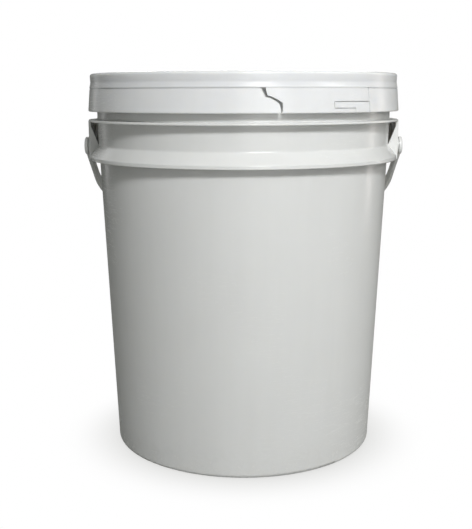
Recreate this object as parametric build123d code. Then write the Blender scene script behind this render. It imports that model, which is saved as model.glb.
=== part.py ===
from build123d import *
from math import atan2, cos, degrees, radians, sin, sqrt, tan
import os

# Twenty-litre plastic pail with a tear-strip lid and a bail handle that swings.
# Millimetres. +Z is up, the origin is on the pail's axis at the ground, the front
# faces -Y and the bail's ears are on +X and -X. An azimuth is in degrees from the
# front towards +X. Section points are (radius, height).

# Wall, foot and floor
FOOT_R = 130.3
DRAFT = 0.043
WALL = 2.2
FOOT_ROUND = 4.0
FOOT_WIDTH = 7.0
FLOOR_UNDER = 3.0
FLOOR_THICK = 2.6
FLOOR_ROUND = 6.0
FLOOR_RIBS = 12
FLOOR_RIB_DROP = 1.6
FLOOR_RIB_THICK = 1.8
FLOOR_HUB_R = 20.0

# Lower ring: a cone that ends in an upright lip, hollow below
LOW_RING_R = 151.7
LOW_RING_TOP = 301.0
LOW_RING_SHOULDER = 290.2
LOW_RING_BOTTOM = 286.7
RING_WALL = 2.0
RING_RIBS = 24
RING_RIB_THICK = 1.6

# Upper ring: a flat flange
TOP_RING_R = 152.5
TOP_RING_TOP = 325.7
TOP_RING_WEB = 2.1

# Neck and snap rim above the upper ring
NECK_R = 144.1
NECK_WALL = 2.4
NECK_STEP = 4.0
RIM_R = 147.3
RIM_TOP = 363.0
RIM_DEPTH = 6.4
RIM_UNDERCUT = 1.6
RIM_LEAD = 2.0

# Ears between the two rings
EAR_FACE_X = 152.3
EAR_PLATE = 2.5
EAR_HALF = 17.0
EAR_RIB = 2.0
EAR_COLLAR_R = 8.5
EAR_COLLAR = 2.3
EAR_BOSS = 2.6
EAR_POCKET_SKIN = 0.4

# Bail: flat strap, end discs, pegs and a moulded grip
PIVOT_Z = 299.0
BAIL_REST = 56.2
STRAP_WIDE = 12.0
STRAP_THICK = 3.2
ARM_X = 156.8
ARM_LEAN = 0.6
ARM_LENGTH = 60.0
CORNER_R = 110.0
CROWN_R = 252.0
DISC_R = 9.0
DISC_GAP = 0.3
DISC_DOME = 0.2
PEG_R = 5.0
PEG_CLEARANCE = 0.06
PEG_HEAD_R = 6.6
PEG_HEAD = 2.8
GRIP_HALF_ANGLE = 10.3
GRIP_WIDE = 22.0
GRIP_WEB = 2.4
GRIP_FLANGE = 2.2
GRIP_TALL = 6.5
GRIP_RIBS = 9

# Lid: raised rim, recessed panel and the skirt that is split by the tear line
LID_TOP = 369.0
LID_TOP_R = 150.4
LID_CROWN_ROUND = 2.4
LID_BAND_TOP = 360.4
LID_BAND_R = 149.9
TEAR_TOP = 355.1
TEAR_BOTTOM = 354.5
TEAR_R = 150.9
TEAR_GROOVE = 0.45
TEAR_WEB = 0.4
SKIRT_BOTTOM = 333.5
SKIRT_R = 152.5
SKIRT_WALL = 1.8
LEDGE_R = 147.7
LEDGE_TALL = 1.6
LID_ROOF = 2.4
RECESS_R = 139.2
PANEL_TOP = 357.0
PANEL_THICK = 2.2
PLUG_R = 141.0
PLUG_WALL = 1.9
PLUG_BOTTOM = 352.0
DAIS_R = 96.0
DAIS_TALL = 1.2
STACK_RIBS = 24
STACK_RIB_R = 131.2
STACK_RIB_TALL = 6.0
STACK_RIB_THICK = 1.6
UNDER_RIBS = 12
UNDER_RIB_DROP = 2.4

# Gasket in the roof of the lid's channel
GASKET_IN_R = 142.0
GASKET_OUT_R = 147.0
GASKET_THICK = 3.3

# Pull tab and the slots that free it, at the start of the tear strip
SLOT = 0.5
TAB_TIP = 30.9
TAB_NOTCH = 40.0
TAB_ROOT = 47.0
TAB_TOP = 343.2
TAB_LOW = 337.6
TAB_HINGE_R = 151.05
TAB_HINGE_ROUND = 0.9
TAB_HINGE_GAP = 0.4

# Jagged slit at the far end of the strip: (azimuth, height) down each side
SLIT_STRIP_SIDE = [
    (5.5, 355.5),
    (7.1, 347.0),
    (8.6, 346.3),
    (10.4, 343.8),
    (11.6, 341.2),
    (12.0, 336.0),
    (12.0, 332.5),
]
SLIT_SKIRT_SIDE = [
    (6.9, 355.5),
    (7.7, 348.6),
    (9.0, 347.6),
    (10.8, 345.4),
    (12.6, 342.2),
    (12.6, 336.0),
    (12.3, 335.0),
    (12.3, 332.5),
]
SLIT_MIDDLE = 9.0
NUB_AZIMUTH = 11.2
NUB_R = 0.8


def wall_r(height):
    """Outside radius of the pail's wall at a height."""
    return FOOT_R + DRAFT * height


def turned(points, rounds):
    """Solid of revolution from (radius, height) points, corners rounded, seam at the back."""
    face = make_face(Polyline(*points, close=True))
    for corner, radius in rounds:
        vertex = face.vertices().sort_by_distance((corner[0], corner[1], 0))[0]
        face = fillet(vertex, radius)
    return Rot(0, 0, 90) * revolve(Plane.XZ * face, Axis.Z)


def radial_plate(points, thickness):
    """Upright plate in the XZ plane, centred on it, from (radius, height) points."""
    face = Plane.XZ * make_face(Polyline(*points, close=True))
    return extrude(face, thickness / 2, both=True)


def at_azimuth(shape, azimuth):
    """Turn a shape that lies along +X to an azimuth."""
    return Rot(0, 0, azimuth - 90) * shape


def on_ring(azimuth, radius, height):
    """Point at an azimuth, radius and height."""
    return (radius * sin(radians(azimuth)), -radius * cos(radians(azimuth)), height)


def pail_shell():
    """Wall, foot, floor, both rings, neck and rim in one turned section."""
    slope = (LOW_RING_TOP - LOW_RING_SHOULDER) / (LOW_RING_R - wall_r(LOW_RING_TOP))
    drop = RING_WALL * sqrt(1 + slope * slope)
    cone_under = LOW_RING_TOP - drop
    lip_in = LOW_RING_R - RING_WALL
    lip_roof = LOW_RING_SHOULDER + RING_WALL * slope - drop
    web_under = TOP_RING_TOP - TOP_RING_WEB
    floor_top = FLOOR_UNDER + FLOOR_THICK
    neck_in = NECK_R - NECK_WALL
    step_low = TOP_RING_TOP - NECK_STEP
    rim_under = RIM_TOP - RIM_DEPTH
    points = [
        (0, FLOOR_UNDER),
        (FOOT_R - FOOT_WIDTH, FLOOR_UNDER),
        (FOOT_R - FOOT_WIDTH, 0),
        (FOOT_R, 0),
        (wall_r(cone_under), cone_under),
        (lip_in, lip_roof),
        (lip_in, LOW_RING_BOTTOM),
        (LOW_RING_R, LOW_RING_BOTTOM),
        (LOW_RING_R, LOW_RING_SHOULDER),
        (wall_r(LOW_RING_TOP), LOW_RING_TOP),
        (wall_r(web_under), web_under),
        (TOP_RING_R, web_under),
        (TOP_RING_R, TOP_RING_TOP),
        (NECK_R, TOP_RING_TOP),
        (NECK_R, rim_under - RIM_UNDERCUT),
        (RIM_R, rim_under),
        (RIM_R, RIM_TOP - RIM_LEAD),
        (RIM_R - RIM_LEAD, RIM_TOP),
        (neck_in, RIM_TOP),
        (neck_in, TOP_RING_TOP + 1),
        (wall_r(step_low) - WALL, step_low),
        (wall_r(floor_top) - WALL, floor_top),
        (0, floor_top),
    ]
    rounds = [
        ((FOOT_R, 0), FOOT_ROUND),
        ((FOOT_R - FOOT_WIDTH, FLOOR_UNDER), 1.0),
        ((LOW_RING_R, LOW_RING_BOTTOM), 0.7),
        ((LOW_RING_R, LOW_RING_SHOULDER), 1.2),
        ((wall_r(LOW_RING_TOP), LOW_RING_TOP), 3.0),
        ((TOP_RING_R, web_under), 0.5),
        ((TOP_RING_R, TOP_RING_TOP), 0.8),
        ((NECK_R, TOP_RING_TOP), 1.5),
        ((RIM_R, rim_under), 0.5),
        ((neck_in, RIM_TOP), 0.8),
        ((wall_r(step_low) - WALL, step_low), 3.0),
        ((wall_r(floor_top) - WALL, floor_top), FLOOR_ROUND),
    ]
    return turned(points, rounds)


def ring_ribs():
    """Gussets inside the hollow lower ring."""
    low = LOW_RING_BOTTOM + 1.3
    inside = WALL / 2
    points = [
        (wall_r(low) - inside, low),
        (LOW_RING_R - RING_WALL / 2, low),
        (LOW_RING_R - RING_WALL / 2, LOW_RING_SHOULDER),
        (wall_r(LOW_RING_TOP) - inside, LOW_RING_TOP - 1.5),
    ]
    rib = radial_plate(points, RING_RIB_THICK)
    pitch = 360 / RING_RIBS
    return [at_azimuth(rib, (index + 0.5) * pitch) for index in range(RING_RIBS)]


def floor_ribs():
    """Shallow spokes and a hub ring under the floor."""
    low = FLOOR_UNDER - FLOOR_RIB_DROP
    points = [
        (FLOOR_HUB_R, low),
        (FOOT_R - FOOT_WIDTH + 1, low),
        (FOOT_R - FOOT_WIDTH + 1, FLOOR_UNDER + 1),
        (FLOOR_HUB_R, FLOOR_UNDER + 1),
    ]
    spoke = radial_plate(points, FLOOR_RIB_THICK)
    pitch = 360 / FLOOR_RIBS
    hub = turned(
        [
            (FLOOR_HUB_R - FLOOR_RIB_THICK, low),
            (FLOOR_HUB_R + 0.4, low),
            (FLOOR_HUB_R + 0.4, FLOOR_UNDER + 1),
            (FLOOR_HUB_R - FLOOR_RIB_THICK, FLOOR_UNDER + 1),
        ],
        [],
    )
    return [at_azimuth(spoke, (index + 0.5) * pitch) for index in range(FLOOR_RIBS)] + [hub]


def ear():
    """Ear plate on +X with a low front and a full rear gusset and a boss round the peg hole."""
    plate_in = EAR_FACE_X - EAR_PLATE
    top = TOP_RING_TOP - TOP_RING_WEB + 0.5
    tall = top - LOW_RING_BOTTOM
    middle = (top + LOW_RING_BOTTOM) / 2
    plate = Pos(EAR_FACE_X - EAR_PLATE / 2, 0, middle) * Box(EAR_PLATE, 2 * EAR_HALF, tall)
    upright = [edge for edge in plate.edges().filter_by(Axis.Z) if edge.center().X > plate_in + 0.1]
    plate = fillet(upright, 1.0)
    points = [
        (wall_r(LOW_RING_TOP) - WALL / 2, LOW_RING_TOP - 1.5),
        (plate_in + 0.5, top - 4),
        (plate_in + 0.5, LOW_RING_BOTTOM + 1),
        (LOW_RING_R - RING_WALL / 2, LOW_RING_BOTTOM + 1),
    ]
    front = radial_plate(points, EAR_RIB)
    full = [(wall_r(top) - WALL / 2, top), (plate_in + 0.5, top)]
    rear = radial_plate([points[0], *full, *points[2:]], EAR_RIB)
    shift = EAR_HALF - EAR_RIB / 2
    collar_x = plate_in - EAR_COLLAR / 2
    collar = Pos(collar_x, 0, PIVOT_Z) * Rot(0, 90, 0) * Cylinder(EAR_COLLAR_R, EAR_COLLAR)
    boss = Cylinder(EAR_COLLAR_R, EAR_BOSS + 1)
    boss = fillet(boss.edges().sort_by(Axis.Z)[-1], 0.6)
    boss = Pos(EAR_FACE_X + (EAR_BOSS - 1) / 2, 0, PIVOT_Z) * Rot(0, 90, 0) * boss
    return plate + Pos(0, shift, 0) * rear + Pos(0, -shift, 0) * front + collar + boss


def ear_pocket():
    """Space behind the ear plate, open below, down to a thin skin on the pail's wall."""
    plate_in = EAR_FACE_X - EAR_PLATE
    low = LOW_RING_BOTTOM - 2
    high = TOP_RING_TOP - TOP_RING_WEB
    wide = 2 * (EAR_HALF - EAR_RIB)
    inner = FOOT_R
    box = Pos((inner + plate_in) / 2, 0, (low + high) / 2) * Box(plate_in - inner, wide, high - low)
    low_r = wall_r(low - 1) + EAR_POCKET_SKIN
    high_r = wall_r(high + 1) + EAR_POCKET_SKIN
    core = turned([(0, low - 1), (low_r, low - 1), (high_r, high + 1), (0, high + 1)], [])
    return box - core


def pail_body():
    """The pail itself: one moulding with its rings and both ears."""
    pocket = ear_pocket()
    shell = pail_shell() - pocket - mirror(pocket, Plane.YZ)
    lug = ear()
    shell = shell + lug + mirror(lug, Plane.YZ)
    for rib in ring_ribs() + floor_ribs():
        shell = shell + rib
    hole_in = EAR_FACE_X - EAR_PLATE - EAR_COLLAR - 1
    hole_out = EAR_FACE_X + EAR_BOSS + 1
    hole = Rot(0, 90, 0) * Cylinder(PEG_R + PEG_CLEARANCE, hole_out - hole_in)
    for side in (1, -1):
        shell = shell - Pos(side * (hole_in + hole_out) / 2, 0, PIVOT_Z) * hole
    return shell


def bail_outline(inset, outset):
    """Flat face of the bail between two offsets from its middle line, pivot on y=0."""
    lean = radians(ARM_LEAN)
    arm_end = (ARM_X - ARM_LENGTH * tan(lean), ARM_LENGTH)
    corner = (arm_end[0] - CORNER_R * cos(lean), arm_end[1] - CORNER_R * sin(lean))
    reach = CROWN_R - CORNER_R
    crown_y = corner[1] - sqrt(reach * reach - corner[0] * corner[0])
    split = degrees(atan2(corner[1] - crown_y, corner[0]))
    lines = []
    ends = []
    for offset in (outset, inset):
        start = (ARM_X + offset / cos(lean), 0)
        knee = (corner[0] + (CORNER_R + offset) * cos(lean), corner[1] + (CORNER_R + offset) * sin(lean))
        sweep = split - ARM_LEAN
        lines.append(Line(start, knee))
        lines.append(CenterArc(corner, CORNER_R + offset, ARM_LEAN, sweep))
        lines.append(CenterArc((0, crown_y), CROWN_R + offset, split, 180 - 2 * split))
        lines.append(CenterArc((-corner[0], corner[1]), CORNER_R + offset, 180 - split, sweep))
        lines.append(Line((-knee[0], knee[1]), (-start[0], 0)))
        ends.append(start)
    lines.append(Line(ends[0], ends[1]))
    lines.append(Line((-ends[0][0], 0), (-ends[1][0], 0)))
    return make_face(lines), crown_y


def crown_block(crown_y, radius_in, radius_out, wide, half_angle):
    """Curved bar round the bail's crown, centred on the strap's width."""
    ring = Circle(radius_out) - Circle(radius_in)
    far = 2 * radius_out
    edge = far * tan(radians(half_angle))
    wedge = make_face(Polyline((0, 0), (edge, far), (-edge, far), close=True))
    return Pos(0, crown_y, 0) * extrude(ring & wedge, wide / 2, both=True)


def grip(crown_y):
    """Moulded grip: a wide web with two flanges turned outwards and cross ribs."""
    web_in = CROWN_R - STRAP_THICK / 2
    bar = crown_block(crown_y, web_in, web_in + GRIP_TALL, GRIP_WIDE, GRIP_HALF_ANGLE)
    hollow = crown_block(
        crown_y,
        web_in + GRIP_WEB,
        web_in + GRIP_TALL + 1,
        GRIP_WIDE - 2 * GRIP_FLANGE,
        GRIP_HALF_ANGLE - 0.5,
    )
    bar = fillet(bar.edges().filter_by(GeomType.CIRCLE), 1.4)
    bar = bar - hollow
    rib = Box(GRIP_FLANGE, GRIP_TALL - 2.5, GRIP_WIDE - GRIP_FLANGE)
    pitch = 2 * (GRIP_HALF_ANGLE - 1.3) / (GRIP_RIBS - 1)
    for index in range(GRIP_RIBS):
        turn = (index - (GRIP_RIBS - 1) / 2) * pitch
        place = Pos(0, crown_y, 0) * Rot(0, 0, turn) * Pos(0, web_in + GRIP_TALL / 2 - 0.4, 0)
        bar = bar + place * rib
    return bar


def bail_end():
    """End disc on +X with the peg that passes through the ear."""
    disc_in = EAR_FACE_X + EAR_BOSS + DISC_GAP
    disc_out = ARM_X + STRAP_THICK / 2 + DISC_DOME
    head_at = EAR_FACE_X - EAR_PLATE - EAR_COLLAR - DISC_GAP
    disc = Cylinder(DISC_R, disc_out - disc_in)
    disc = fillet(disc.edges().sort_by(Axis.Z)[-1], 2.2)
    disc = Pos((disc_in + disc_out) / 2, 0, 0) * Rot(0, 90, 0) * disc
    peg = Pos((disc_in + head_at) / 2, 0, 0) * Rot(0, 90, 0) * Cylinder(PEG_R, disc_in - head_at + 1)
    head = Pos(head_at - PEG_HEAD / 2, 0, 0) * Rot(0, -90, 0) * Cone(PEG_HEAD_R, PEG_R - 0.6, PEG_HEAD)
    return disc + peg + head


def bail_handle():
    """Bail in one moulding, resting against the back of the pail."""
    face, crown_y = bail_outline(-STRAP_THICK / 2, STRAP_THICK / 2)
    strap = extrude(face, STRAP_WIDE / 2, both=True)
    long_edges = [edge for edge in strap.edges() if abs(edge.center().Z) > STRAP_WIDE / 2 - 0.1]
    strap = fillet([edge for edge in long_edges if edge.length > 20], 0.8)
    end = bail_end()
    handle = strap + grip(crown_y) + end + mirror(end, Plane.YZ)
    return Pos(0, 0, PIVOT_Z) * Rot(BAIL_REST - 90, 0, 0) * handle


def lid_top():
    """Raised rim, recessed panel, plug wall and the skirt above the tear line."""
    roof_under = LID_TOP - LID_ROOF
    panel_under = PANEL_TOP - PANEL_THICK
    skirt_in = TEAR_R - SKIRT_WALL
    points = [
        (0, PANEL_TOP + DAIS_TALL),
        (DAIS_R, PANEL_TOP + DAIS_TALL),
        (DAIS_R + DAIS_TALL, PANEL_TOP),
        (RECESS_R, PANEL_TOP),
        (RECESS_R + 0.3, LID_TOP),
        (LID_TOP_R, LID_TOP),
        (LID_BAND_R, LID_BAND_TOP),
        (TEAR_R, TEAR_TOP + 0.9),
        (TEAR_R, TEAR_TOP),
        (skirt_in, TEAR_TOP),
        (skirt_in - 0.8, roof_under),
        (PLUG_R, roof_under),
        (PLUG_R - 0.2, PLUG_BOTTOM),
        (PLUG_R - PLUG_WALL, PLUG_BOTTOM),
        (PLUG_R - PLUG_WALL, panel_under),
        (0, panel_under),
    ]
    rounds = [
        ((RECESS_R, PANEL_TOP), 1.6),
        ((RECESS_R + 0.3, LID_TOP), 3.0),
        ((LID_TOP_R, LID_TOP), LID_CROWN_ROUND),
        ((LID_BAND_R, LID_BAND_TOP), 6.0),
        ((TEAR_R, TEAR_TOP + 0.9), 0.6),
        ((skirt_in - 0.8, roof_under), 1.5),
    ]
    return turned(points, rounds)


def lid_ribs():
    """Stacking gussets in the recess and spokes under the panel."""
    foot = PANEL_TOP - 1
    gusset = radial_plate(
        [
            (STACK_RIB_R, foot),
            (RECESS_R + 0.8, foot),
            (RECESS_R + 0.8, PANEL_TOP + STACK_RIB_TALL),
            (STACK_RIB_R, PANEL_TOP + 0.8),
        ],
        STACK_RIB_THICK,
    )
    under = PANEL_TOP - PANEL_THICK
    spoke = radial_plate(
        [
            (FLOOR_HUB_R, under - UNDER_RIB_DROP),
            (PLUG_R - PLUG_WALL + 0.5, under - UNDER_RIB_DROP),
            (PLUG_R - PLUG_WALL + 0.5, under + 1),
            (FLOOR_HUB_R, under + 1),
        ],
        STACK_RIB_THICK,
    )
    gussets = [at_azimuth(gusset, (index + 0.5) * 360 / STACK_RIBS) for index in range(STACK_RIBS)]
    spokes = [at_azimuth(spoke, (index + 0.5) * 360 / UNDER_RIBS) for index in range(UNDER_RIBS)]
    return gussets + spokes


def lower_skirt():
    """Whole ring below the tear line, with the ledge that snaps under the rim."""
    inner_top = TEAR_R - SKIRT_WALL
    points = [
        (LEDGE_R, TEAR_BOTTOM),
        (TEAR_R, TEAR_BOTTOM),
        (SKIRT_R, SKIRT_BOTTOM + 1.5),
        (SKIRT_R, SKIRT_BOTTOM),
        (SKIRT_R - SKIRT_WALL, SKIRT_BOTTOM),
        (inner_top, TEAR_BOTTOM - LEDGE_TALL - 2.5),
        (LEDGE_R, TEAR_BOTTOM - LEDGE_TALL),
    ]
    rounds = [
        ((SKIRT_R, SKIRT_BOTTOM), 0.9),
        ((SKIRT_R - SKIRT_WALL, SKIRT_BOTTOM), 0.5),
    ]
    return turned(points, rounds)


def ring_sector(radius_in, radius_out, low, high, start, end):
    """Part of a square-section ring between two azimuths."""
    corners = [(radius_in, low), (radius_out, low), (radius_out, high), (radius_in, high)]
    face = make_face(Polyline(*corners, close=True))
    return Rot(0, 0, start - 90) * revolve(Plane.XZ * face, Axis.Z, revolution_arc=end - start)


def upright_slot(azimuth, low, high):
    """Narrow radial slot through the skirt."""
    slot = Pos(TEAR_R - 1, 0, (low + high) / 2) * Box(12, SLOT, high - low)
    return at_azimuth(slot, azimuth)


def level_slot(middle, start, end):
    """Narrow slot round the skirt at one height."""
    return ring_sector(TEAR_R - 6, TEAR_R + 4, middle - SLOT / 2, middle + SLOT / 2, start, end)


def slit():
    """Jagged opening between the strip's far end and the fixed skirt."""
    outline = SLIT_STRIP_SIDE + SLIT_SKIRT_SIDE[::-1]
    points = [(TEAR_R * sin(radians(azimuth - SLIT_MIDDLE)), height) for azimuth, height in outline]
    face = Plane.YZ * make_face(Polyline(*points, close=True))
    prism = Pos(TEAR_R - 8, 0, 0) * extrude(face, 12)
    return at_azimuth(prism, SLIT_MIDDLE)


def hinge_post(radius, low, high):
    """Upright cylinder on the tab's hinge line."""
    x, y, z = on_ring(TAB_ROOT, TAB_HINGE_R, (low + high) / 2)
    return Pos(x, y, z) * Cylinder(radius, high - low)


def skirt_pieces():
    """Strip, fixed stretch and tab, cut from the lower skirt."""
    ring = lower_skirt() - slit()
    ring = ring - upright_slot(TAB_ROOT, TAB_TOP, TEAR_BOTTOM + 1)
    ring = ring - level_slot(TAB_TOP, TAB_TIP, TAB_ROOT)
    ring = ring - upright_slot(TAB_TIP, TAB_LOW, TAB_TOP)
    ring = ring - level_slot(TAB_LOW, TAB_TIP, TAB_NOTCH)
    ring = ring - upright_slot(TAB_NOTCH, SKIRT_BOTTOM - 1, TAB_LOW)
    ring = ring - upright_slot(TAB_ROOT, SKIRT_BOTTOM - 1, TAB_TOP + SLOT / 2)
    tab, fixed, strip = ring.solids().sort_by(SortBy.VOLUME)
    low = SKIRT_BOTTOM + 0.6
    high = TAB_TOP - SLOT / 2
    clear = TAB_HINGE_ROUND + TAB_HINGE_GAP
    gap_low = SKIRT_BOTTOM - 1
    gap_high = high + SLOT
    gap = Pos(TEAR_R - 1, clear / 2, (gap_low + gap_high) / 2) * Box(12, clear, gap_high - gap_low)
    strip = strip - at_azimuth(gap, TAB_ROOT)
    fill = ring_sector(TAB_HINGE_R - 0.7, TAB_HINGE_R + 0.7, low, high, TAB_ROOT - 0.5, TAB_ROOT)
    tab = tab + fill + hinge_post(TAB_HINGE_ROUND, low, high)
    return strip, fixed, tab


def tear_strip(strip):
    """Strip with its thin tear web and the nub at its far end."""
    web_out = TEAR_R - TEAR_GROOVE
    web_end = SLIT_STRIP_SIDE[0][0] - 0.3
    low = TEAR_BOTTOM - 0.2
    web = ring_sector(web_out - TEAR_WEB, web_out, low, TEAR_TOP, TAB_ROOT + 0.5, 360 + web_end)
    nub = Pos(*on_ring(NUB_AZIMUTH, SKIRT_R - SKIRT_WALL / 2, SKIRT_BOTTOM)) * Sphere(NUB_R)
    return strip + web + nub


def lid_shell(fixed):
    """Lid with the stretch of skirt that stays on when the strip is torn away."""
    web_out = TEAR_R - TEAR_GROOVE
    web_start = SLIT_SKIRT_SIDE[0][0] + 0.3
    web = ring_sector(web_out - 1.2, web_out, TEAR_BOTTOM - 0.2, TEAR_TOP + 0.2, web_start, TAB_ROOT - 0.5)
    lid = lid_top() + web + fixed
    for rib in lid_ribs():
        lid = lid + rib
    return lid


def lid_gasket():
    """Soft ring in the lid's channel, just above the pail's rim."""
    top = LID_TOP - LID_ROOF
    points = [
        (GASKET_IN_R, top - GASKET_THICK),
        (GASKET_OUT_R, top - GASKET_THICK),
        (GASKET_OUT_R, top),
        (GASKET_IN_R, top),
    ]
    return turned(points, [(points[0], 0.8), (points[1], 0.8)])


def main():
    strip, fixed, tab = skirt_pieces()
    nodes = {
        "pail_body": pail_body(),
        "bail_handle": bail_handle(),
        "lid_shell": lid_shell(fixed),
        "tear_strip": tear_strip(strip),
        "pull_tab": tab,
        "lid_gasket": lid_gasket(),
    }
    os.makedirs("parts", exist_ok=True)
    for name, shape in nodes.items():
        export_step(shape, f"parts/{name}.step")


main()
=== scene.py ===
"""Looks for a white plastic pail with a tear-strip lid, laid out as a Blender add-on."""

import math
from typing import NamedTuple

import bpy
from mathutils import Matrix, Vector


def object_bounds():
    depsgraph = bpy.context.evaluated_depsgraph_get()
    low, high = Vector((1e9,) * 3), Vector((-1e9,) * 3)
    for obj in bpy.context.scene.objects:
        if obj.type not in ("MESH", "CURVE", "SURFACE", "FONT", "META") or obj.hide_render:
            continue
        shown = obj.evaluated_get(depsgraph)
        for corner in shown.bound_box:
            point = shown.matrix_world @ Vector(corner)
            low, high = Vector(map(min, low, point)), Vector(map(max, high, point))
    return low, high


bl_info = {
    "name": "Plastic pail",
    "version": (1, 0, 0),
    "blender": (4, 5, 0),
    "location": "View3D > Sidebar > Pail",
    "description": "Finishes a moulded pail, its tear-strip lid and its bail, and sets the studio",
    "category": "Object",
}

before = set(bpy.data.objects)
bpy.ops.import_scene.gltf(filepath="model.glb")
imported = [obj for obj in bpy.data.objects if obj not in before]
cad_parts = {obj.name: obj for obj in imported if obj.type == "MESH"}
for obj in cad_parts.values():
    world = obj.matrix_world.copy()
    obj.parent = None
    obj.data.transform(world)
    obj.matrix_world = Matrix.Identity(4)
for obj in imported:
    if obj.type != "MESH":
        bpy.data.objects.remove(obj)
CAD_LOW, CAD_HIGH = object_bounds()

# Colours of the marks on used plastic, and of the painted highlight on outer edges
DIRT = (0.42, 0.40, 0.36, 1)
SCUFF = (0.62, 0.62, 0.60, 1)
# Painted highlight: a paler colour laid on outer edges, standing in for light glowing through the thin
# plastic
EDGE_HIGHLIGHT_PAINT = (0.88, 0.88, 0.87, 1)
WHITE = (1, 1, 1, 1)

# How much of the plastic's colour the strongest mark of each kind covers, the painted edge highlight
# included
DIRT_COVER = 0.25
SCUFF_COVER = 0.35
EDGE_HIGHLIGHT_COVER = 0.3
MARK_ROUGHNESS = 0.5

# Plastic: refraction, how light spreads inside it, and its moulded grain
PLASTIC_IOR = 1.50
GLOW_REACH = (1.0, 0.95, 0.85)
GRAIN_STRENGTH = 0.22
GRAIN_HEIGHT = 0.0006

# Floor: ring radii inside the outer edge, spokes, and the painted shadow where the pail stands
FLOOR_RINGS = (0.4, 1.2)
FLOOR_SPOKES = 48
FLOOR_BOUNCE = (0.30, 0.30, 0.29, 1)
PAINTED_CONTACT_SHADOW = (0.74, 0.74, 0.73, 1)
PAINTED_SHADOW_REACH = 0.07

# Air round the studio, as the pail feels it
AIR_COLOUR = (0.97, 1.0, 0.95, 1)
AIR_STRENGTH = 0.19

KEY_DISTANCE = 1.7
KEY_SIZE = (0.26, 0.26)
KEY_COLOUR = (0.985, 0.99, 1.0)
SENSOR_WIDTH = 36.0


class Lamp(NamedTuple):
    """One soft light; angles in degrees, azimuth from the front towards the right."""

    name: str
    azimuth: float
    elevation: float
    distance: float
    size: tuple
    colour: tuple = (1, 1, 1)


FILL = Lamp("fill", 14, 7, 1.6, (0.9, 0.5))
SIDE = Lamp("side", 66, 30, 1.6, (0.4, 0.5))
WINDOW = Lamp("window", 113, 10, 1.5, (0.12, 0.9), (1.0, 0.93, 0.88))
FAR_WINDOW = Lamp("far_window", -133, 12, 1.5, (0.16, 0.9))
FAR_WINDOW_SHARE = 0.33
BACK = Lamp("back", 180, 28, 1.7, (0.9, 0.6))


# Settings -----------------------------------------------------------------------------


class PailFinish(bpy.types.PropertyGroup):
    pail_colour: bpy.props.FloatVectorProperty(
        name="Pail colour",
        description="Colour of the pail's and the bail's plastic",
        subtype="COLOR",
        size=3,
        min=0,
        max=1,
        default=(0.72, 0.725, 0.71),
    )
    lid_colour: bpy.props.FloatVectorProperty(
        name="Lid colour",
        description="Colour of the lid's plastic, a little whiter than the pail's",
        subtype="COLOR",
        size=3,
        min=0,
        max=1,
        default=(0.80, 0.805, 0.80),
    )
    gasket_colour: bpy.props.FloatVectorProperty(
        name="Gasket colour",
        description="Colour of the foamed gasket in the lid",
        subtype="COLOR",
        size=3,
        min=0,
        max=1,
        default=(0.60, 0.60, 0.57),
    )
    gloss_roughness: bpy.props.FloatProperty(
        name="Plastic roughness",
        description="Roughness of the clean moulded plastic",
        subtype="FACTOR",
        min=0,
        max=1,
        default=0.24,
    )


class StudioSettings(bpy.types.PropertyGroup):
    eye_distance: bpy.props.FloatProperty(
        name="Eye distance",
        description="Level distance from the pail's axis to the camera",
        unit="LENGTH",
        min=0.3,
        default=0.908,
    )
    eye_height: bpy.props.FloatProperty(
        name="Eye height",
        description="Height of the camera above the floor",
        unit="LENGTH",
        min=0.0,
        default=0.3496,
    )
    eye_tilt: bpy.props.FloatProperty(
        name="Tilt",
        description="How far the camera looks down",
        subtype="ANGLE",
        default=math.radians(10.75),
    )
    eye_turn: bpy.props.FloatProperty(
        name="Turn",
        description="How far the camera looks to the left of the pail's axis",
        subtype="ANGLE",
        default=math.radians(0.474),
    )
    eye_roll: bpy.props.FloatProperty(
        name="Roll",
        description="How far the camera is rolled",
        subtype="ANGLE",
        default=math.radians(-0.107),
    )
    eye_azimuth: bpy.props.FloatProperty(
        name="Azimuth",
        description="How far round the pail the camera stands",
        subtype="ANGLE",
        default=math.radians(0.0),
    )
    lens: bpy.props.FloatProperty(
        name="Lens",
        description="Focal length in millimetres on a 36 mm wide sensor",
        min=10,
        default=61.043,
    )
    floor_radius: bpy.props.FloatProperty(
        name="Floor radius",
        description="Radius of the pale floor",
        unit="LENGTH",
        min=1.0,
        default=6.0,
    )
    key_power: bpy.props.FloatProperty(
        name="Key light",
        description="Power of the large soft light in front",
        unit="POWER",
        min=0,
        default=17.5,
    )
    key_azimuth: bpy.props.FloatProperty(
        name="Key azimuth",
        description="Direction of the main light, from the front towards the right",
        subtype="ANGLE",
        default=math.radians(12.5),
    )
    key_elevation: bpy.props.FloatProperty(
        name="Key elevation",
        description="Height of the main light above the horizon",
        subtype="ANGLE",
        default=math.radians(37.0),
    )
    side_power: bpy.props.FloatProperty(
        name="Side light",
        description="Power of the second light, on the right",
        unit="POWER",
        min=0,
        default=3.8,
    )
    fill_power: bpy.props.FloatProperty(
        name="Fill light",
        description="Power of the broad low light in front",
        unit="POWER",
        min=0,
        default=3.6,
    )
    back_power: bpy.props.FloatProperty(
        name="Back light",
        description="Power of the soft light behind the pail",
        unit="POWER",
        min=0,
        default=9.0,
    )
    window_power: bpy.props.FloatProperty(
        name="Window light",
        description="Power of the tall warm light behind the right edge",
        unit="POWER",
        min=0,
        default=1.5,
    )


# Materials ----------------------------------------------------------------------------


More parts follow.
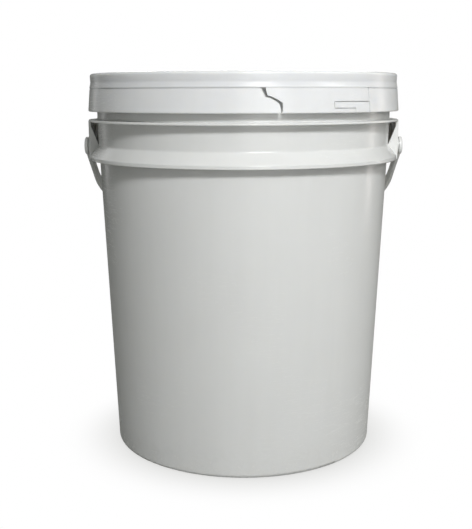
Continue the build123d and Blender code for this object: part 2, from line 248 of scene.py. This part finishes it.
class Graph:
    """Adds and joins shader nodes in one tree, from left to right."""

    def __init__(self, tree):
        self.tree = tree
        self.count = 0

    def add(self, kind, inputs=None, **settings):
        node = self.tree.nodes.new(kind)
        node.location = (self.count * 180 - 900, -(self.count % 4) * 170)
        self.count += 1
        for name, value in settings.items():
            setattr(node, name, value)
        for key, value in (inputs or {}).items():
            if isinstance(value, bpy.types.NodeSocket):
                self.tree.links.new(value, node.inputs[key])
            else:
                node.inputs[key].default_value = value
        return node

    def math(self, operation, first, second=0.0, clamp=False):
        node = self.add("ShaderNodeMath", {0: first, 1: second}, operation=operation, use_clamp=clamp)
        return node.outputs[0]

    def ramp(self, value, low, high, to_low=0.0, to_high=1.0):
        inputs = {"Value": value, "From Min": low, "From Max": high, "To Min": to_low, "To Max": to_high}
        node = self.add("ShaderNodeMapRange", inputs, interpolation_type="SMOOTHSTEP")
        return node.outputs["Result"]

    def blend(self, amount, first, second):
        node = self.add("ShaderNodeMix", data_type="RGBA", blend_type="MIX")
        for socket, value in ((0, amount), (6, first), (7, second)):
            if isinstance(value, bpy.types.NodeSocket):
                self.tree.links.new(value, node.inputs[socket])
            else:
                node.inputs[socket].default_value = value
        return node.outputs[2]

    def noise(self, vector, scale, detail=3.0, roughness=0.5):
        inputs = {"Vector": vector, "Scale": scale, "Detail": detail, "Roughness": roughness}
        return self.add("ShaderNodeTexNoise", inputs).outputs["Fac"]


def new_group(name, inputs, outputs):
    """Shader group with named sockets; inputs are (name, kind, default)."""
    tree = bpy.data.node_groups.new(name, "ShaderNodeTree")
    for socket_name, kind, default in inputs:
        socket = tree.interface.new_socket(name=socket_name, in_out="INPUT", socket_type=kind)
        socket.default_value = default
    for socket_name, kind in outputs:
        tree.interface.new_socket(name=socket_name, in_out="OUTPUT", socket_type=kind)
    graph = Graph(tree)
    source = graph.add("NodeGroupInput")
    sink = graph.add("NodeGroupOutput")
    return tree, graph, source, sink


def link_out(tree, sink, **sockets):
    """Join sockets to a group's outputs by name."""
    for name, socket in sockets.items():
        tree.links.new(socket, sink.inputs[name])


def moulding_tone_group():
    """Slow changes of tone in moulded plastic: soft clouds and upright flow streaks."""
    tree, graph, source, sink = new_group(
        "moulding_tone",
        [
            ("Colour", "NodeSocketColor", (0.8, 0.8, 0.8, 1)),
            ("Cloud amount", "NodeSocketFloat", 0.05),
            ("Streak amount", "NodeSocketFloat", 0.04),
            ("Cloud scale", "NodeSocketFloat", 14.0),
        ],
        [("Colour", "NodeSocketColor")],
    )
    place = graph.add("ShaderNodeTexCoord").outputs["Object"]
    clouds = graph.noise(place, source.outputs["Cloud scale"], 4.0, 0.55)
    centred = graph.math("SUBTRACT", clouds, 0.5)
    cloud_shift = graph.math("MULTIPLY", centred, source.outputs["Cloud amount"])
    stretched = graph.add("ShaderNodeMapping", {"Vector": place, "Scale": (1, 1, 0.05)}).outputs[0]
    streaks = graph.noise(stretched, 90.0, 5.0, 0.6)
    centred = graph.math("SUBTRACT", streaks, 0.5)
    streak_shift = graph.math("MULTIPLY", centred, source.outputs["Streak amount"])
    value = graph.math("ADD", graph.math("ADD", cloud_shift, streak_shift), 1.0)
    tint = graph.add("ShaderNodeHueSaturation", {"Color": source.outputs["Colour"], "Value": value})
    link_out(tree, sink, Colour=tint.outputs["Color"])
    return tree


def handling_marks_group():
    """Masks for fine scratches and for rubbed dirt that gathers low on a wall."""
    tree, graph, source, sink = new_group(
        "handling_marks",
        [
            ("Scratch scale", "NodeSocketFloat", 16.0),
            ("Dirt top", "NodeSocketFloat", 0.05),
        ],
        [("Scratches", "NodeSocketFloat"), ("Dirt", "NodeSocketFloat")],
    )
    place = graph.add("ShaderNodeTexCoord").outputs["Object"]
    masks = []
    for turn, stretch in ((0.35, 14.0), (1.9, 18.0), (2.6, 11.0)):
        pull = {"Vector": place, "Rotation": (turn, turn * 0.7, turn), "Scale": (1, 1, stretch)}
        turned = graph.add("ShaderNodeMapping", pull).outputs[0]
        scale = source.outputs["Scratch scale"]
        inputs = {"Vector": turned, "Scale": scale, "Detail": 4.0, "Distortion": 0.2}
        lines = graph.add("ShaderNodeTexNoise", inputs).outputs["Fac"]
        ridge = graph.math("ABSOLUTE", graph.math("SUBTRACT", lines, 0.5))
        masks.append(graph.ramp(ridge, 0.0, 0.006, 1.0, 0.0))
    patches = graph.ramp(graph.noise(place, 11.0, 2.0), 0.52, 0.62)
    scratches = graph.math("MAXIMUM", graph.math("MAXIMUM", masks[0], masks[1]), masks[2])
    height = graph.add("ShaderNodeSeparateXYZ", {0: place}).outputs["Z"]
    low = graph.ramp(height, 0.0, source.outputs["Dirt top"], 1.0, 0.0)
    speckle = graph.ramp(graph.noise(place, 160.0, 5.0, 0.7), 0.42, 0.72)
    link_out(
        tree,
        sink,
        Scratches=graph.math("MULTIPLY", scratches, patches),
        Dirt=graph.math("MULTIPLY", low, speckle),
    )
    return tree


def orange_peel_group():
    """Height of the faint waviness and grain of a moulded surface."""
    tree, graph, source, sink = new_group(
        "orange_peel",
        [("Wave scale", "NodeSocketFloat", 40.0), ("Grain scale", "NodeSocketFloat", 900.0)],
        [("Height", "NodeSocketFloat")],
    )
    place = graph.add("ShaderNodeTexCoord").outputs["Object"]
    waves = graph.noise(place, source.outputs["Wave scale"], 2.0, 0.4)
    grain = graph.noise(place, source.outputs["Grain scale"], 3.0, 0.6)
    height = graph.math("ADD", graph.math("MULTIPLY", waves, 0.85), graph.math("MULTIPLY", grain, 0.15))
    link_out(tree, sink, Height=height)
    return tree


def painted_edge_highlight_group():
    """Mask for outer edges, where a painted highlight turns the plastic paler."""
    tree, graph, source, sink = new_group(
        "painted_edge_highlight", [("Strength", "NodeSocketFloat", 1.0)], [("Mask", "NodeSocketFloat")]
    )
    place = graph.add("ShaderNodeTexCoord").outputs["Object"]
    pointed = graph.add("ShaderNodeNewGeometry").outputs["Pointiness"]
    edges = graph.ramp(pointed, 0.52, 0.60)
    broken = graph.ramp(graph.noise(place, 120.0, 4.0, 0.7), 0.35, 0.65)
    lit_edges = graph.math("MULTIPLY", edges, broken)
    mask = graph.math("MULTIPLY", lit_edges, source.outputs["Strength"], clamp=True)
    link_out(tree, sink, Mask=mask)
    return tree


def shared_groups():
    """The effects that several materials use, each built once."""
    makers = {
        "moulding_tone": moulding_tone_group,
        "handling_marks": handling_marks_group,
        "orange_peel": orange_peel_group,
        "painted_edge_highlight": painted_edge_highlight_group,
    }
    return {name: bpy.data.node_groups.get(name) or make() for name, make in makers.items()}


def new_material(name):
    """Empty material and the graph that fills it."""
    material = bpy.data.materials.new(name)
    material.use_nodes = True
    material.node_tree.nodes.clear()
    return material, Graph(material.node_tree)


def moulded_plastic(name, colour, roughness, marks=0.5, glow=0.3, depth=0.004, dirt_top=0.04):
    """White moulded polyethylene: satin, a little translucent, lightly handled, with a painted highlight
    on its outer edges.
    """
    groups = shared_groups()
    material, graph = new_material(name)
    tone = graph.add("ShaderNodeGroup", node_tree=groups["moulding_tone"])
    tone.inputs["Colour"].default_value = (*colour, 1)
    marked = graph.add("ShaderNodeGroup", node_tree=groups["handling_marks"])
    marked.inputs["Dirt top"].default_value = dirt_top
    edge_highlight = graph.add("ShaderNodeGroup", node_tree=groups["painted_edge_highlight"])
    peel = graph.add("ShaderNodeGroup", node_tree=groups["orange_peel"])
    dirt = graph.math("MULTIPLY", marked.outputs["Dirt"], DIRT_COVER * marks)
    scratch = graph.math("MULTIPLY", marked.outputs["Scratches"], SCUFF_COVER * marks)
    dirty = graph.blend(dirt, tone.outputs["Colour"], DIRT)
    scratched = graph.blend(scratch, dirty, SCUFF)
    # Painted highlight: outer edges are blended towards a paler colour
    with_painted_light = graph.blend(graph.math("MULTIPLY", edge_highlight.outputs["Mask"], EDGE_HIGHLIGHT_COVER), scratched, EDGE_HIGHLIGHT_PAINT)
    rough_marks = graph.math("MULTIPLY", graph.math("ADD", dirt, scratch), MARK_ROUGHNESS)
    rough = graph.math("ADD", rough_marks, roughness, clamp=True)
    grain = {"Height": peel.outputs["Height"], "Strength": GRAIN_STRENGTH, "Distance": GRAIN_HEIGHT}
    bump = graph.add("ShaderNodeBump", grain).outputs[0]
    inputs = {
        "Base Color": with_painted_light,
        "Roughness": rough,
        "Normal": bump,
        "IOR": PLASTIC_IOR,
        "Subsurface Weight": glow,
        "Subsurface Radius": GLOW_REACH,
        "Subsurface Scale": depth,
    }
    shader = graph.add("ShaderNodeBsdfPrincipled", inputs)
    graph.add("ShaderNodeOutputMaterial", {"Surface": shader.outputs[0]})
    return material


def foamed_rubber(name, colour):
    """Pale foamed gasket with open pores, its pits darkened with painted shade."""
    material, graph = new_material(name)
    place = graph.add("ShaderNodeTexCoord").outputs["Object"]
    pores = graph.add("ShaderNodeTexVoronoi", {"Vector": place, "Scale": 1400.0}).outputs["Distance"]
    # Painted shade: the pits of the pores are coloured darker
    painted_pit_shade = tuple(channel * 0.7 for channel in colour)
    tone = graph.blend(graph.ramp(pores, 0.1, 0.5, 1.0, 0.0), (*colour, 1), (*painted_pit_shade, 1))
    dents = {"Height": pores, "Strength": 0.6, "Distance": 0.0004}
    bump = graph.add("ShaderNodeBump", dents).outputs[0]
    inputs = {"Base Color": tone, "Roughness": 0.85, "Normal": bump}
    shader = graph.add("ShaderNodeBsdfPrincipled", inputs)
    graph.add("ShaderNodeOutputMaterial", {"Surface": shader.outputs[0]})
    return material


def floor_material():
    """White floor with a faint painted contact shadow, which bounces only a little light."""
    material, graph = new_material("studio_floor")
    occlusion = graph.add("ShaderNodeAmbientOcclusion", {"Distance": PAINTED_SHADOW_REACH}, samples=16)
    near = occlusion.outputs["AO"]
    # Painted shadow: the floor's seen colour darkens where the pail stands close
    with_painted_light = graph.blend(graph.ramp(near, 0.35, 0.98), PAINTED_CONTACT_SHADOW, WHITE)
    seen = graph.add("ShaderNodeEmission", {"Color": with_painted_light, "Strength": 1.0}).outputs[0]
    bounce = {"Base Color": FLOOR_BOUNCE, "Roughness": 0.9}
    felt = graph.add("ShaderNodeBsdfPrincipled", bounce).outputs[0]
    ray = graph.add("ShaderNodeLightPath").outputs["Is Camera Ray"]
    mixed = graph.add("ShaderNodeMixShader", {0: ray, 1: felt, 2: seen}).outputs[0]
    graph.add("ShaderNodeOutputMaterial", {"Surface": mixed})
    return material


def dress(node_name, material):
    """Give a carried-over CAD node one finish."""
    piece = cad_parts[node_name]
    if not piece.material_slots:
        raise RuntimeError(f"{node_name} has no material slot to fill")
    for slot in piece.material_slots:
        slot.material = material


# Operators ----------------------------------------------------------------------------


class PAIL_OT_body(bpy.types.Operator):
    """Finish the pail body"""

    bl_idname = "pail.body"
    bl_label = "Pail body"

    def execute(self, context):
        finish = context.scene.pail_finish
        dress("pail_body", moulded_plastic("pail_plastic", finish.pail_colour, finish.gloss_roughness))
        return {"FINISHED"}


class PAIL_OT_bail(bpy.types.Operator):
    """Finish the bail handle"""

    bl_idname = "pail.bail"
    bl_label = "Bail handle"

    def execute(self, context):
        finish = context.scene.pail_finish
        roughness = finish.gloss_roughness
        plastic = moulded_plastic("bail_plastic", finish.pail_colour, roughness, dirt_top=0.0)
        dress("bail_handle", plastic)
        return {"FINISHED"}


class PAIL_OT_lid(bpy.types.Operator):
    """Finish the lid, its tear strip and its pull tab"""

    bl_idname = "pail.lid"
    bl_label = "Lid"

    def execute(self, context):
        finish = context.scene.pail_finish
        plastic = moulded_plastic(
            "lid_plastic", finish.lid_colour, finish.gloss_roughness, glow=0.6, depth=0.005, dirt_top=0.0
        )
        for node_name in ("lid_shell", "tear_strip", "pull_tab"):
            dress(node_name, plastic)
        return {"FINISHED"}


class PAIL_OT_gasket(bpy.types.Operator):
    """Finish the gasket in the lid"""

    bl_idname = "pail.gasket"
    bl_label = "Lid gasket"

    def execute(self, context):
        dress("lid_gasket", foamed_rubber("gasket_rubber", context.scene.pail_finish.gasket_colour))
        return {"FINISHED"}


def add_area_light(lamp, power, target):
    """Hang a rectangular light that faces a point and that the camera doesn't see."""
    light = bpy.data.lights.new(lamp.name, "AREA")
    light.shape = "RECTANGLE"
    light.size, light.size_y = lamp.size
    light.energy = power
    light.color = lamp.colour
    piece = bpy.data.objects.new(lamp.name, light)
    bpy.context.scene.collection.objects.link(piece)
    azimuth = math.radians(lamp.azimuth)
    elevation = math.radians(lamp.elevation)
    level = math.cos(elevation)
    away = Vector((math.sin(azimuth) * level, -math.cos(azimuth) * level, math.sin(elevation)))
    piece.location = target + away * lamp.distance
    piece.rotation_mode = "QUATERNION"
    piece.rotation_quaternion = (-away).to_track_quat("-Z", "Y")
    piece.visible_camera = False


class PAIL_OT_studio(bpy.types.Operator):
    """Lay the floor, set the lights and place the camera"""

    bl_idname = "pail.studio"
    bl_label = "Studio"

    def execute(self, context):
        settings = context.scene.pail_studio
        self.floor(settings)
        self.lights(context, settings)
        self.camera(context, settings)
        return {"FINISHED"}

    def floor(self, settings):
        rings = (*FLOOR_RINGS, settings.floor_radius)
        verts = [(0, 0, 0)]
        faces = []
        for ring in rings:
            for index in range(FLOOR_SPOKES):
                turn = 2 * math.pi * index / FLOOR_SPOKES
                verts.append((ring * math.cos(turn), ring * math.sin(turn), 0))
        for index in range(FLOOR_SPOKES):
            following = (index + 1) % FLOOR_SPOKES
            faces.append((0, 1 + index, 1 + following))
            for level in range(len(rings) - 1):
                inner = 1 + level * FLOOR_SPOKES
                outer = inner + FLOOR_SPOKES
                faces.append((inner + index, outer + index, outer + following, inner + following))
        mesh = bpy.data.meshes.new("studio_floor")
        mesh.from_pydata(verts, [], faces)
        floor = bpy.data.objects.new("studio_floor", mesh)
        bpy.context.scene.collection.objects.link(floor)
        floor.location.z = CAD_LOW.z
        mesh.materials.append(floor_material())

    def lights(self, context, settings):
        target = Vector((0, 0, (CAD_LOW.z + CAD_HIGH.z) / 2))
        key_azimuth = math.degrees(settings.key_azimuth)
        key_elevation = math.degrees(settings.key_elevation)
        key = Lamp("key", key_azimuth, key_elevation, KEY_DISTANCE, KEY_SIZE, KEY_COLOUR)
        add_area_light(key, settings.key_power, target)
        add_area_light(FILL, settings.fill_power, target)
        add_area_light(SIDE, settings.side_power, target)
        add_area_light(WINDOW, settings.window_power, target)
        add_area_light(FAR_WINDOW, settings.window_power * FAR_WINDOW_SHARE, target)
        add_area_light(BACK, settings.back_power, target)
        self.air(context)
        context.scene.view_settings.view_transform = "Standard"

    def air(self, context):
        world = bpy.data.worlds.new("studio_air")
        world.use_nodes = True
        world.node_tree.nodes.clear()
        graph = Graph(world.node_tree)
        seen = graph.add("ShaderNodeBackground", {"Color": WHITE, "Strength": 1.0}).outputs[0]
        air = {"Color": AIR_COLOUR, "Strength": AIR_STRENGTH}
        felt = graph.add("ShaderNodeBackground", air).outputs[0]
        ray = graph.add("ShaderNodeLightPath").outputs["Is Camera Ray"]
        mixed = graph.add("ShaderNodeMixShader", {0: ray, 1: felt, 2: seen}).outputs[0]
        graph.add("ShaderNodeOutputWorld", {"Surface": mixed})
        context.scene.world = world

    def camera(self, context, settings):
        data = bpy.data.cameras.new("camera")
        data.sensor_width = SENSOR_WIDTH
        data.lens = settings.lens
        camera = bpy.data.objects.new("camera", data)
        context.scene.collection.objects.link(camera)
        turn = Matrix.Rotation(settings.eye_azimuth, 4, "Z")
        stand = Matrix.Translation((0, -settings.eye_distance, CAD_LOW.z + settings.eye_height))
        heading = Matrix.Rotation(settings.eye_turn, 4, "Z")
        tilt = Matrix.Rotation(math.radians(90) - settings.eye_tilt, 4, "X")
        roll = Matrix.Rotation(settings.eye_roll, 4, "Z")
        camera.matrix_world = turn @ stand @ heading @ tilt @ roll
        context.scene.camera = camera


class PAIL_PT_panel(bpy.types.Panel):
    """Lists the pail's pieces"""

    bl_idname = "PAIL_PT_panel"
    bl_label = "Plastic pail"
    bl_space_type = "VIEW_3D"
    bl_region_type = "UI"
    bl_category = "Pail"

    def draw(self, context):
        for group in (context.scene.pail_finish, context.scene.pail_studio):
            box = self.layout.box()
            for name in group.__annotations__:
                box.prop(group, name)
        for operator in OPERATORS:
            self.layout.operator(operator.bl_idname)


OPERATORS = (PAIL_OT_body, PAIL_OT_bail, PAIL_OT_lid, PAIL_OT_gasket, PAIL_OT_studio)
CLASSES = (PailFinish, StudioSettings, *OPERATORS, PAIL_PT_panel)


def register():
    for cls in CLASSES:
        bpy.utils.register_class(cls)
    bpy.types.Scene.pail_finish = bpy.props.PointerProperty(type=PailFinish)
    bpy.types.Scene.pail_studio = bpy.props.PointerProperty(type=StudioSettings)


def unregister():
    del bpy.types.Scene.pail_studio
    del bpy.types.Scene.pail_finish
    for cls in reversed(CLASSES):
        bpy.utils.unregister_class(cls)


def main():
    register()
    bpy.ops.pail.body()
    bpy.ops.pail.bail()
    bpy.ops.pail.lid()
    bpy.ops.pail.gasket()
    bpy.ops.pail.studio()


if __name__ == "__main__":
    main()
